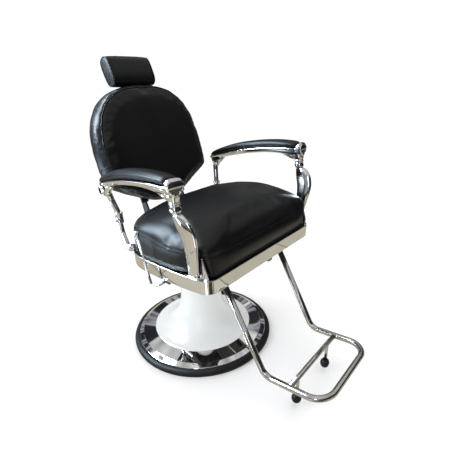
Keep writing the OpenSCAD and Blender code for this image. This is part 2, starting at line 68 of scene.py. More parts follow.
def place_camera():
    eye = Vector((-0.8662, -0.9296, 1.0197))
    yaw = math.radians(50.9)
    pitch = math.radians(28.1)
    roll = math.radians(-0.6)
    data = bpy.data.cameras.new("camera")
    data.sensor_width = 36
    data.lens = 27.829
    data.shift_x = -0.0361
    data.shift_y = 0.0772
    camera = linked("camera", data)
    look = Vector((math.sin(yaw) * math.cos(pitch), math.cos(yaw) * math.cos(pitch), -math.sin(pitch)))
    side = look.cross(Vector((0, 0, 1))).normalized()
    over = side.cross(look)
    turned_side = side * math.cos(roll) + over * math.sin(roll)
    turned_over = over * math.cos(roll) - side * math.sin(roll)
    turn = Matrix((turned_side, turned_over, -look)).transposed().to_4x4()
    camera.matrix_world = Matrix.Translation(eye) @ turn
    scene.camera = camera


def node_tree(owner):
    owner.use_nodes = True
    tree = owner.node_tree
    tree.nodes.clear()
    return tree


def make_world():
    """Even white surroundings, so the pale floor runs into the background."""
    world = bpy.data.worlds.new("room")
    scene.world = world
    tree = node_tree(world)
    ground = tree.nodes.new("ShaderNodeBackground")
    out = tree.nodes.new("ShaderNodeOutputWorld")
    ground.inputs[0].default_value = (1.0, 1.0, 1.0, 1)
    ground.inputs[1].default_value = 1.04
    tree.links.new(ground.outputs[0], out.inputs[0])


def fill(node, values):
    for key, value in values.items():
        node.inputs[key].default_value = value


def emission(name):
    material = bpy.data.materials.new(name)
    tree = node_tree(material)
    glow = tree.nodes.new("ShaderNodeEmission")
    out = tree.nodes.new("ShaderNodeOutputMaterial")
    tree.links.new(glow.outputs[0], out.inputs[0])
    return material, tree, glow


def glow_material(name, color, strength):
    material, _, glow = emission(name)
    glow.inputs[0].default_value = (*color, 1)
    glow.inputs[1].default_value = strength
    return material


def patchy_material(name, stops, scale, stretch):
    """Glowing card in uneven patches, like a furnished room seen in polished metal."""
    material, tree, glow = emission(name)
    field = object_noise(tree, scale, 2.5, 0.55, stretch)
    ramp = tree.nodes.new("ShaderNodeValToRGB")
    marks = ramp.color_ramp.elements
    marks[0].position, marks[0].color = stops[0][0], (*stops[0][1], 1)
    marks[1].position, marks[1].color = stops[-1][0], (*stops[-1][1], 1)
    for place, color in stops[1:-1]:
        marks.new(place).color = (*color, 1)
    tree.links.new(field, ramp.inputs[0])
    tree.links.new(ramp.outputs[0], glow.inputs[0])
    return material


def tiled_material(name):
    """Glowing beige floor tiles with dark joints, met only by reflections."""
    material, tree, glow = emission(name)
    coords = tree.nodes.new("ShaderNodeTexCoord")
    tiles = tree.nodes.new("ShaderNodeTexBrick")
    tiles.offset = 0.0
    fill(tiles, {
        "Color1": (0.62, 0.58, 0.47, 1), "Color2": (0.52, 0.48, 0.38, 1), "Mortar": (0.2, 0.18, 0.15, 1),
        "Scale": 1.0, "Mortar Size": 0.006, "Brick Width": 0.6, "Row Height": 0.6})
    tree.links.new(coords.outputs["Object"], tiles.inputs["Vector"])
    tree.links.new(tiles.outputs["Color"], glow.inputs[0])
    return material


def stage_sheet(name, centre, width, height, aim, material, seen=False, turn=0):
    """A flat card facing a point. Cards are only met by reflections."""
    mesh = bpy.data.meshes.new(name)
    w, h = width / 2, height / 2
    mesh.from_pydata([(-w, -h, 0), (w, -h, 0), (w, h, 0), (-w, h, 0)], [], [(0, 1, 2, 3)])
    sheet = linked(name, mesh)
    spin = Matrix.Rotation(math.radians(turn), 4, "Z")
    sheet.matrix_world = Matrix.Translation(centre) @ facing(Vector(aim) - Vector(centre)) @ spin
    mesh.materials.append(material)
    if not seen:
        sheet.visible_camera = False
        sheet.visible_diffuse = False
        sheet.visible_shadow = False
        sheet.visible_transmission = False
    return sheet


def area_light(name, place, aim, width, height, power, color):
    data = bpy.data.lights.new(name, "AREA")
    data.shape = "RECTANGLE"
    data.size = width
    data.size_y = height
    data.energy = power
    data.color = color
    lamp = linked(name, data)
    lamp.matrix_world = Matrix.Translation(place) @ facing(Vector(aim) - Vector(place), "-Z")
    return lamp


UP = (0, 0, 1)
MIDDLE = (0, 0, 0.6)
NEAR_DARK = (0.045, 0.04, 0.035)

# glowing cards: name, centre, width, height, facing, colour, strength
CARDS = [
    ("far_floor", (0, 0, -0.006), 8, 8, UP, (0.07, 0.065, 0.06), 1.0),
    ("floor_glare", (-2.65, 2.0, -0.002), 2.7, 2.7, (-2.65, 2.0, 1), (0.66, 0.83, 1.0), 8.0),
    ("window_left", (-2.35, 2.1, 2.25), 1.9, 1.5, MIDDLE, (0.7, 0.86, 1.0), 34.0),
    ("window_high", (-0.85, 1.55, 2.9), 1.9, 0.8, MIDDLE, (0.74, 0.87, 1.0), 24.0),
    ("window_near", (-2.9, -1.7, 1.5), 0.35, 1.6, MIDDLE, (1.0, 0.99, 0.96), 5.0),
    ("dark_corner", (2.3, -2.2, 0.75), 3.2, 1.5, MIDDLE, (0.012, 0.012, 0.014), 1.0),
    ("dark_ceiling", (2.95, 2.3, 2.55), 2.8, 1.9, MIDDLE, (0.025, 0.025, 0.03), 1.0),
]
# light and shadow on the floor by the chair's near corner: name, x, y, width, turn, colour, strength
FLOOR_STRIPS = [
    ("floor_streak", -1.3, -0.98, 0.15, -57, (1, 1, 0.98), 2.2),
    ("floor_shade_0", -0.9, -1.22, 0.13, -38, NEAR_DARK, 1.0),
    ("floor_shade_1", -0.66, -1.3, 0.24, -27, NEAR_DARK, 1.0),
    ("floor_shade_2", -0.4, -1.4, 0.07, -16, NEAR_DARK, 1.0),
]
STRIP_LENGTH = 1.3
WALL_AIM = (0, 0, 1.4)


def make_walls():
    """Dim, cluttered and hazy walls, each in uneven patches."""
    dim = [(0.0, (0.012, 0.012, 0.014)), (0.6, (0.03, 0.03, 0.035)), (0.78, (0.22, 0.22, 0.24))]
    clutter = [
        (0.3, (0.01, 0.01, 0.012)), (0.5, (0.03, 0.03, 0.035)), (0.54, (0.45, 0.46, 0.5)),
        (0.62, (0.05, 0.05, 0.06)), (0.66, (0.9, 0.92, 0.95)), (0.74, (0.1, 0.1, 0.12))]
    haze = [(0.35, (0.16, 0.17, 0.19)), (0.65, (0.42, 0.44, 0.46))]
    top = [(0.4, (0.36, 0.36, 0.36)), (0.6, (0.78, 0.78, 0.77))]
    busy = patchy_material("card_clutter", clutter, 1.0, (1.5, 0.28, 1))
    wall = (8, 3.4, WALL_AIM)
    stage_sheet("wall_right", (3.4, 0, 1.4), *wall, busy)
    stage_sheet("wall_behind", (0, 3.4, 1.4), *wall, busy)
    stage_sheet("wall_front", (0, -3.4, 1.4), *wall, patchy_material("card_dim", dim, 1.6, (1, 1.6, 1)))
    stage_sheet("wall_left", (-3.6, 0, 1.4), *wall, patchy_material("card_haze", haze, 0.9, (1, 2.2, 1)))
    ceiling = patchy_material("card_top", top, 0.8, (1, 1, 1))
    stage_sheet("ceiling_card", (0, 0, 3.1), 8, 8, (0, 0, 0), ceiling)


def make_stage():
    """Pale floor, and what the polished parts mirror: a tiled floor, a dim furnished room, bright windows."""
    floor_material, _, shader = principled("floor_pale")
    fill(shader, {"Base Color": (0.965, 0.965, 0.965, 1), "Roughness": 0.9, "Specular IOR Level": 0.1})
    floor = stage_sheet("floor", (0, 0, -0.0005), 14, 14, UP, floor_material, seen=True)
    floor.visible_glossy = False
    tiles = tiled_material("card_tiles")
    stage_sheet("near_floor", (-0.25, -0.1, -0.004), 3.4, 3.6, (-0.25, -0.1, 1), tiles)
    make_walls()
    for name, centre, width, height, aim, color, strength in CARDS:
        stage_sheet(name, centre, width, height, aim, glow_material(name, color, strength))
    for name, x, y, width, turn, color, strength in FLOOR_STRIPS:
        material = glow_material(name, color, strength)
        stage_sheet(name, (x, y, -0.002), width, STRIP_LENGTH, (x, y, 1), material, turn=turn)
    window = area_light("window", (-2.3, 1.2, 1.9), MIDDLE, 1.6, 1.6, 30, (0.86, 0.93, 1.0))
    ceiling = area_light("ceiling", (0.3, 0.2, 2.8), (0, 0, 0.3), 2.4, 2.4, 16, (1.0, 0.99, 0.97))
    for lamp in (window, ceiling):
        lamp.visible_glossy = False


# ---- materials

def principled(name):
    material = bpy.data.materials.new(name)
    tree = node_tree(material)
    shader = tree.nodes.new("ShaderNodeBsdfPrincipled")
    out = tree.nodes.new("ShaderNodeOutputMaterial")
    tree.links.new(shader.outputs[0], out.inputs[0])
    return material, tree, shader


def object_noise(tree, scale, detail=3.0, roughness=0.55, stretch=(1, 1, 1)):
    coords = tree.nodes.new("ShaderNodeTexCoord")
    mapping = tree.nodes.new("ShaderNodeMapping")
    mapping.inputs["Scale"].default_value = stretch
    field = tree.nodes.new("ShaderNodeTexNoise")
    fill(field, {"Scale": scale, "Detail": detail, "Roughness": roughness})
    tree.links.new(coords.outputs["Object"], mapping.inputs[0])
    tree.links.new(mapping.outputs[0], field.inputs["Vector"])
    return field.outputs[0]


def remap(tree, source, low, high, to_low, to_high):
    spread = tree.nodes.new("ShaderNodeMapRange")
    fill(spread, {"From Min": low, "From Max": high, "To Min": to_low, "To Max": to_high})
    tree.links.new(source, spread.inputs["Value"])
    return spread.outputs["Result"]


def tint(tree, source, first, second, low, high):
    ramp = tree.nodes.new("ShaderNodeValToRGB")
    marks = ramp.color_ramp.elements
    marks[0].position, marks[0].color = low, (*first, 1)
    marks[1].position, marks[1].color = high, (*second, 1)
    tree.links.new(source, ramp.inputs[0])
    return ramp.outputs[0]


def vary(tree, shader, source, colors, color_span, roughness, rough_span):
    """Colour and roughness that drift together with a noise field."""
    tree.links.new(tint(tree, source, *colors, *color_span), shader.inputs["Base Color"])
    tree.links.new(remap(tree, source, *rough_span, *roughness), shader.inputs["Roughness"])


def bump(tree, shader, source, distance, strength=1.0, below=None):
    node = tree.nodes.new("ShaderNodeBump")
    fill(node, {"Strength": strength, "Distance": distance})
    tree.links.new(source, node.inputs["Height"])
    if below:
        tree.links.new(below.outputs[0], node.inputs["Normal"])
    tree.links.new(node.outputs[0], shader.inputs["Normal"])
    return node


def make_finish(name, inputs, drift, look, bumps):
    """Material that drifts with one noise field and is bumped by others."""
    material, tree, shader = principled(name)
    fill(shader, inputs)
    vary(tree, shader, object_noise(tree, *drift), *look)
    below = None
    for field, distance, strength in bumps:
        below = bump(tree, shader, object_noise(tree, *field), distance, strength, below)
    return material


def make_chrome(name, base, low, high, waviness):
    dull = tuple(channel * 0.93 for channel in base)
    look = ((base, dull), (0.35, 0.65), (low, high), (0.4, 0.75))
    bumps = [((7, 1.5), waviness, 1.0), ((420, 2), 0.000015, 0.5)]
    return make_finish(name, {"Metallic": 1.0}, (14, 4), look, bumps)


def make_vinyl(name):
    material, tree, shader = principled(name)
    coords = tree.nodes.new("ShaderNodeTexCoord")
    grain = tree.nodes.new("ShaderNodeTexVoronoi")
    grain.inputs["Scale"].default_value = 780
    grain.feature = "DISTANCE_TO_EDGE"
    tree.links.new(coords.outputs["Object"], grain.inputs["Vector"])
    creases = object_noise(tree, 34, 5, 0.62)
    patches = object_noise(tree, 5, 3)
    colors = ((0.0026, 0.0027, 0.0031), (0.0062, 0.0064, 0.0073))
    vary(tree, shader, patches, colors, (0.3, 0.9), (0.33, 0.42), (0.3, 0.75))
    shader.inputs["Specular IOR Level"].default_value = 0.34
    cells = remap(tree, grain.outputs["Distance"], 0.0, 0.12, 0.0, 1.0)
    under = bump(tree, shader, cells, 0.00003, 0.22)
    bump(tree, shader, creases, 0.0005, 0.22, under)
    return material


def make_wood(name):
    material, tree, shader = principled(name)
    grain = object_noise(tree, 24, 8, 0.6, (1, 9, 9))
    veined = tint(tree, grain, (0.36, 0.24, 0.13), (0.6, 0.45, 0.28), 0.3, 0.7)
    tree.links.new(veined, shader.inputs["Base Color"])
    shader.inputs["Roughness"].default_value = 0.7
    bump(tree, shader, grain, 0.0003, 0.5)
    return material


CHROME = make_chrome("chrome", (0.86, 0.865, 0.87), 0.025, 0.075, 0.0004)
CAST_CHROME = make_chrome("cast_chrome", (0.84, 0.845, 0.85), 0.035, 0.1, 0.0012)
STEEL = make_finish(
    "polished_steel", {"Metallic": 1.0}, (18, 4),
    (((0.66, 0.655, 0.64), (0.6, 0.595, 0.58)), (0.35, 0.65), (0.13, 0.22), (0.3, 0.7)),
    [((260, 3, 0.6, (1, 0.12, 1)), 0.00003, 0.6)])
VINYL = make_vinyl("black_vinyl")
ENAMEL = make_finish(
    "white_enamel", {"Coat Weight": 0.4, "Coat Roughness": 0.08}, (9, 5),
    (((0.86, 0.875, 0.875), (0.8, 0.815, 0.81)), (0.35, 0.8), (0.16, 0.26), (0.35, 0.75)),
    [((160, 2), 0.00005, 0.5)])
PAINT = make_finish(
    "black_steel", {}, (22, 6, 0.65),
    (((0.018, 0.018, 0.02), (0.045, 0.044, 0.043)), (0.4, 0.8), (0.32, 0.5), (0.3, 0.7)),
    [((300, 2), 0.00006, 0.6)])
RUBBER = make_finish(
    "black_rubber", {"Specular IOR Level": 0.3}, (30, 6, 0.7),
    (((0.0045, 0.0045, 0.005), (0.014, 0.0135, 0.013)), (0.4, 0.9), (0.42, 0.62), (0.3, 0.7)),
    [((900, 2), 0.00008, 0.5)])
PLYWOOD = make_wood("plywood")

FINISH = {
    "chrome": CHROME, "polished_steel": STEEL, "black_vinyl": VINYL, "white_enamel": ENAMEL,
    "black_steel": PAINT, "black_rubber": RUBBER, "plywood": PLYWOOD,
}
SLOT_OF = {material.name: slot for slot, material in FINISH.items()}
SLOT_OF[CAST_CHROME.name] = "chrome"


# ---- mesh tools

def smooth_shade(mesh):
    mesh.polygons.foreach_set("use_smooth", [True] * len(mesh.polygons))


def mend(mesh, distance=0):
    """Merges points closer than distance and turns every face outward."""
    build = bmesh.new()
    build.from_mesh(mesh)
    if distance:
        bmesh.ops.remove_doubles(build, verts=build.verts, dist=distance)
    bmesh.ops.recalc_face_normals(build, faces=build.faces)
    build.to_mesh(mesh)
    build.free()


def new_object(name, points, faces):
    mesh = bpy.data.meshes.new(name)
    mesh.from_pydata([tuple(p) for p in points], [], faces)
    mesh.validate()
    mend(mesh)
    smooth_shade(mesh)
    return linked(name, mesh)


def loft(name, rings, closed=False):
    """Skin over a list of rings with equal counts, capped with a fan unless the rings join up."""
    count = len(rings[0])
    points = [p for ring in rings for p in ring]
    faces = []
    last = len(rings) if closed else len(rings) - 1
    for i in range(last):
        a = i * count
        b = ((i + 1) % len(rings)) * count
        for j in range(count):
            k = (j + 1) % count
            faces.append((a + j, a + k, b + k, b + j))
    if not closed:
        for ring_index in (0, len(rings) - 1):
            ring = rings[ring_index]
            points.append(sum((Vector(p) for p in ring), Vector()) / count)
            centre = len(points) - 1
            for j in range(count):
                k = (j + 1) % count
                faces.append((ring_index * count + j, ring_index * count + k, centre))
    return new_object(name, points, faces)


def lathe(name, profile, steps=128, place=Matrix.Identity(4), closed=True):
    """Turns a list of (radius, height) pairs round Z. A closed profile makes a ring."""
    rings = []
    for i in range(steps):
        angle = 2 * math.pi * i / steps
        rings.append([place @ Vector((r * math.cos(angle), r * math.sin(angle), z)) for r, z in profile])
    count = len(profile)
    points = [p for ring in rings for p in ring]
    faces = []
    for i in range(steps):
        a = i * count
        b = ((i + 1) % steps) * count
        for j in range(count if closed else count - 1):
            k = (j + 1) % count
            faces.append((a + j, b + j, b + k, a + k))
    made = new_object(name, points, faces)
    mend(made.data, 1e-6)
    return made


def rounded(profile, radius, steps=5):
    """Rounds the corners of a closed 2D profile."""
    out = []
    count = len(profile)
    for i, corner in enumerate(profile):
        before = Vector(profile[i - 1])
        here = Vector(corner)
        after = Vector(profile[(i + 1) % count])
        r = radius[i] if isinstance(radius, (list, tuple)) else radius
        if r <= 0:
            out.append((here.x, here.y))
            continue
        to_before = before - here
        to_after = after - here
        reach = min(r, to_before.length * 0.48, to_after.length * 0.48)
        start = here + to_before.normalized() * reach
        end = here + to_after.normalized() * reach
        for k in range(steps + 1):
            t = k / steps
            spot = start * (1 - t) ** 2 + here * 2 * t * (1 - t) + end * t ** 2
            out.append((spot.x, spot.y))
    return out


def crisp(profile, gap=0.0007):
    """Adds points near both ends of every long side, so flats stay flat under smooth shading."""
    out = []
    for i, point in enumerate(profile):
        here = Vector(point)
        after = Vector(profile[(i + 1) % len(profile)])
        out.append(tuple(here))
        if (after - here).length > gap * 3.5:
            step = (after - here).normalized() * gap
            out += [tuple(here + step), tuple(after - step)]
    return out


def smooth_path(points, steps=8, closed=False):
    """Catmull-Rom curve through points of any dimension."""
    points = [tuple(p) for p in points]
    count = len(points)
    out = []
    spans = count if closed else count - 1
    for i in range(spans):
        if closed:
            p = [points[(i + k) % count] for k in (-1, 0, 1, 2)]
        else:
            p = [points[min(max(i + k, 0), count - 1)] for k in (-1, 0, 1, 2)]
        for k in range(steps):
            t = k / steps
            out.append(tuple(
                0.5 * (
                    2 * b + (c - a) * t + (2 * a - 5 * b + 4 * c - d) * t * t
                    + (3 * b - a - 3 * c + d) * t ** 3)
                for a, b, c, d in zip(*p)))
    if not closed:
        out.append(points[-1])
    return out


def bent_path(corners, radii, steps=12):
    """Straight runs joined by true bends."""
    out = []
    for i, corner in enumerate(corners):
        here = Vector(corner)
        if radii[i] == 0:
            out.append(here)
            continue
        a = (Vector(corners[i - 1]) - here).normalized()
        b = (Vector(corners[i + 1]) - here).normalized()
        half = a.angle(b) / 2
        reach = radii[i] / math.tan(half)
        centre = here + (a + b).normalized() * radii[i] / math.sin(half)
        start = here + a * reach - centre
        end = here + b * reach - centre
        sweep = math.pi - 2 * half
        for k in range(steps + 1):
            t = k / steps
            blend = start * math.sin((1 - t) * sweep) + end * math.sin(t * sweep)
            out.append(centre + blend / math.sin(sweep))
    return out


def tube(name, path, radius, sides, closed=False):
    """Round bar along a path. radius is a number, or one per point."""
    path = [Vector(p) for p in path]
    count = len(path)
    radii = radius if isinstance(radius, (list, tuple)) else [radius] * count
    along = []
    for i in range(count):
        if closed:
            along.append((path[(i + 1) % count] - path[i - 1]).normalized())
        else:
            along.append((path[min(i + 1, count - 1)] - path[max(i - 1, 0)]).normalized())
    up = Vector((0, 0, 1)) if abs(along[0].z) < 0.9 else Vector((0, 1, 0))
    rings = []
    for i in range(count):
        side = along[i].cross(up).normalized()
        up = side.cross(along[i]).normalized()
        rings.append([
            path[i] + radii[i] * (side * math.cos(a) + up * math.sin(a))
            for a in (2 * math.pi * k / sides for k in range(sides))])
    return loft(name, rings, closed)


def join(name, objects):
    build = bmesh.new()
    for made in objects:
        build.from_mesh(made.data)
    mesh = bpy.data.meshes.new(name)
    build.to_mesh(mesh)
    build.free()
    for made in objects:
        bpy.data.objects.remove(made)
    smooth_shade(mesh)
    return linked(name, mesh)


def apply_modifiers(made):
    depsgraph = bpy.context.evaluated_depsgraph_get()
    depsgraph.update()
    mesh = bpy.data.meshes.new_from_object(made.evaluated_get(depsgraph))
    made.modifiers.clear()
    made.data = mesh
    smooth_shade(mesh)


def voxel_merge(made, size, smoothing):
    step = made.modifiers.new("merge", "REMESH")
    step.mode = "VOXEL"
    step.voxel_size = size
    step.use_smooth_shade = True
    relax(made, smoothing)


def mirrored(made, name):
    mesh = made.data.copy()
    mesh.transform(Matrix.Scale(-1, 4, (1, 0, 0)))
    mesh.flip_normals()
    return linked(name, mesh)


def finish(made, material, body, *replaced):
    """Material and body of a piece; hides the nodes it stands for."""
    made.data.materials.clear()
    made.data.materials.append(material)
    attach(made, body)
    if replaced:
        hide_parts(*replaced)
    return made


def superellipse(half_x, half_y, power, count):
    out = []
    for i in range(count):
        angle = 2 * math.pi * i / count
        c, s = math.cos(angle), math.sin(angle)
        out.append((
            half_x * math.copysign(abs(c) ** (2 / power), c),
            half_y * math.copysign(abs(s) ** (2 / power), s)))
    return out


def finish_pair(made, material, body, twin_name, node):
    """Finishes a right-hand piece and its mirrored twin; node is the part's name without its side."""
    twin = mirrored(made, twin_name)
    finish(made, material, body, node + "_right")
    finish(twin, material, body, node + "_left")
    return made, twin


# ---- cloth

def inflate(made, voxel, pressure, cap, frames, pinned=None):
    """Blows a closed form up as sewn fabric, moving no point further than cap."""
    step = made.modifiers.new("cells", "REMESH")
    step.mode = "VOXEL"
    step.voxel_size = voxel
    apply_modifiers(made)
    start = [v.co.copy() for v in made.data.vertices]
    cloth = made.modifiers.new("fabric", "CLOTH")
    settings = cloth.settings
    settings.quality = 5
    settings.mass = 0.35
    settings.tension_stiffness = 18
    settings.compression_stiffness = 18
    settings.shear_stiffness = 9
    settings.bending_stiffness = 1.5
    settings.use_pressure = True
    settings.uniform_pressure_force = pressure
    settings.effector_weights.gravity = 0
    cloth.collision_settings.use_collision = False
    cloth.collision_settings.use_self_collision = False
    if pinned:
        group = made.vertex_groups.new(name="held")
        for v in made.data.vertices:
            weight = pinned(v.co)
            if weight > 0:
                group.add([v.index], weight, "REPLACE")
        settings.vertex_group_mass = "held"
    for number in range(1, frames + 1):
        scene.frame_set(number)
    apply_modifiers(made)
    scene.frame_set(1)
    for v, old in zip(made.data.vertices, start):
        move = v.co - old
        if move.length > cap:
            v.co = old + move * (cap / move.length)
    made.vertex_groups.clear()


def relax(made, rounds, factor=0.5):
    soft = made.modifiers.new("relax", "SMOOTH")
    soft.iterations = rounds
    soft.factor = factor
    apply_modifiers(made)


def subdivide(made):
    fine = made.modifiers.new("fine", "SUBSURF")
    fine.levels = 1
    fine.render_levels = 1
    apply_modifiers(made)


def laid_on(made, path, lift):
    """Moves a path onto the surface of a piece, lifted along its normal."""
    build = bmesh.new()
    build.from_mesh(made.data)
    tree = BVHTree.FromBMesh(build)
    build.free()
    out = []
    for p in path:
        spot, normal, _, _ = tree.find_nearest(Vector(p))
        out.append(spot + normal * lift)
    return out


def push_out(made, amount):
    """Moves each point along its normal by amount(point)."""
    points = made.data.vertices
    normals = [v.normal.copy() for v in points]
    moved = [v.co + normal * amount(v.co) for v, normal in zip(points, normals)]
    points.foreach_set("co", [c for p in moved for c in p])
    made.data.update()


def keep_above(made, level):
    for v in made.data.vertices:
        v.co.z = max(v.co.z, level)


def clamp(value):
    return max(0.0, min(1.0, value))


def ripples(fine, coarse):
    """Uneven surface of stuffed vinyl, as a height for push_out."""
    def height(p):
        return noise.noise(p * 8.5) * coarse + noise.noise(p * 22.0) * fine
    return height


def groove(made, path, depth, width):
    """Pulls the surface in along a seam path."""
    seam = KDTree(len(path))
    for i, p in enumerate(path):
        seam.insert(Vector(p), i)
    seam.balance()

    def height(p):
        away = seam.find(p)[2]
        return -depth * math.exp(-(away / width) ** 2) if away < width * 3 else 0.0

    push_out(made, height)


# ---- base

def build_base():
    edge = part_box("base_rubber_ring")[1].x
    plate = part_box("base_plate")[1].x
    rubber = rounded([
        (plate, 0.0), (edge - 0.002, 0.0), (edge, 0.004), (edge, 0.012), (edge - 0.005, 0.0205),
        (edge - 0.0125, 0.024), (plate, 0.024)], [0, 0.002, 0.003, 0.004, 0.005, 0.002, 0], 4)
    finish(lathe("base_edge", rubber, 192), RUBBER, "base", "base_rubber_ring")

    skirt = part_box("pedestal")[1].x
    trim = rounded([
        (0.279, 0.0243), (0.2775, 0.0262), (0.259, 0.0362), (skirt - 0.003, 0.0478),
        (skirt - 0.003, 0.044), (0.257, 0.0322), (0.268, 0.027), (0.268, 0.0243)],
        [0.0006, 0.001, 0.0016, 0.001, 0, 0, 0, 0], 6)
    finish(lathe("trim_ring", crisp(trim), 192), CHROME, "base", "base_trim_ring")

    column = 0.0845
    outer = [
        (column - 0.0025, 0.385), (column, 0.3825), (column, 0.36), (column, 0.3), (column, 0.25)]
    steps = 26
    for i in range(steps + 1):
        t = math.pi / 2 * i / steps
        outer.append((skirt - (skirt - column) * math.cos(t), 0.215 - 0.165 * math.sin(t)))
    outer += [(skirt + 0.0005, 0.048), (skirt - 0.001, 0.0462), (skirt - 0.004, 0.046)]
    inner = [(skirt - 0.004, 0.047)]
    for i in range(steps + 1):
        t = math.pi / 2 * (1 - i / steps)
        inner.append((skirt - 0.004 - (skirt - column) * math.cos(t), 0.212 - 0.165 * math.sin(t)))
    inner += [(column - 0.004, 0.385)]
    shell = lathe("column_shell", outer + inner, 160)
    slot = linked("slot_cutter", bpy.data.meshes.new("slot_cutter"))
    build = bmesh.new()
    bmesh.ops.create_cube(build, size=1.0)
    bmesh.ops.scale(build, vec=(0.07, 0.034, 0.07), verts=build.verts)
    bmesh.ops.bevel(build, geom=list(build.edges), offset=0.008, segments=4, affect="EDGES")
    bmesh.ops.translate(build, vec=(0.115, 0, 0.119), verts=build.verts)
    to_pedal = Matrix.Rotation(math.radians(53), 3, "Z")
    bmesh.ops.rotate(build, cent=(0, 0, 0), matrix=to_pedal, verts=build.verts)
    build.to_mesh(slot.data)
    build.free()
    cut = shell.modifiers.new("slot", "BOOLEAN")
    cut.object = slot
    cut.operation = "DIFFERENCE"
    cut.solver = "EXACT"
    apply_modifiers(shell)
    bpy.data.objects.remove(slot)
    finish(shell, ENAMEL, "base", "pedestal")


# ---- seat band and cushion

SEAT_HALF = 0.304
SEAT_FRONT = 0.342
SEAT_REAR = 0.076
BOW_R = 1.47
BOW_Y = -0.11
FRONT_R = 0.045
REAR_R = 0.14
BAND_LOW = 0.459
LEDGE = 0.504


def seat_outline(inset, counts=(10, 14, 16, 12)):
    """Plan of the seat drawn in by inset, as a closed loop of x, y pairs."""
    bow_c = BOW_R - SEAT_HALF

    def corner_x(radius, y):
        return math.sqrt((BOW_R - radius) ** 2 - (y - BOW_Y) ** 2) - bow_c

    front_y = FRONT_R - SEAT_FRONT
    rear_y = SEAT_REAR - REAR_R
    front_x = corner_x(FRONT_R, front_y)
    rear_x = corner_x(REAR_R, rear_y)
    to_front = math.atan2(front_y - BOW_Y, front_x + bow_c)
    to_rear = math.atan2(rear_y - BOW_Y, rear_x + bow_c)
    half = []

    def arc(cx, cy, radius, first, last, count, skip_ends=False):
        for i in range(count + 1):
            if skip_ends and i in (0, count):
                continue
            angle = first + (last - first) * i / count
            half.append((cx + radius * math.cos(angle), cy + radius * math.sin(angle)))

    flat = counts[0]
    for i in range(flat):
        half.append((front_x * i / flat, -SEAT_FRONT + inset))
    arc(front_x, front_y, FRONT_R - inset, -math.pi / 2, to_front, counts[1])
    arc(-bow_c, BOW_Y, BOW_R - inset, to_front, to_rear, counts[2], True)
    arc(rear_x, rear_y, REAR_R - inset, to_rear, math.pi / 2, counts[3])
    for i in range(1, flat):
        half.append((rear_x * (1 - i / flat), SEAT_REAR - inset))
    half.append((0.0, SEAT_REAR - inset))
    return half + [(-x, y) for x, y in reversed(half[1:-1])]


def build_band():
    section = rounded([
        (0.0, BAND_LOW), (0.0, LEDGE), (0.02, LEDGE), (0.02, LEDGE - 0.003), (0.003, LEDGE - 0.003),
        (0.003, BAND_LOW)],
        [0.0012, 0.0014, 0.0004, 0, 0, 0.0012], 5)
    loops = []
    for inset, z in crisp(section):
        loops.append([Vector((x, y, z)) for x, y in seat_outline(inset, (10, 22, 30, 16))])
    band = loft("seat_rim", loops, closed=True)
    finish(band, CHROME, "seat", "seat_band")


def crown(x, y, peak):
    """Height of the top of the seat cushion."""
    across = abs(x) / 0.3
    along = (y + 0.13) / 0.21
    return peak - 0.03 * across ** 2.2 - 0.028 * along ** 2 * (1.25 if along > 0 else 0.9)


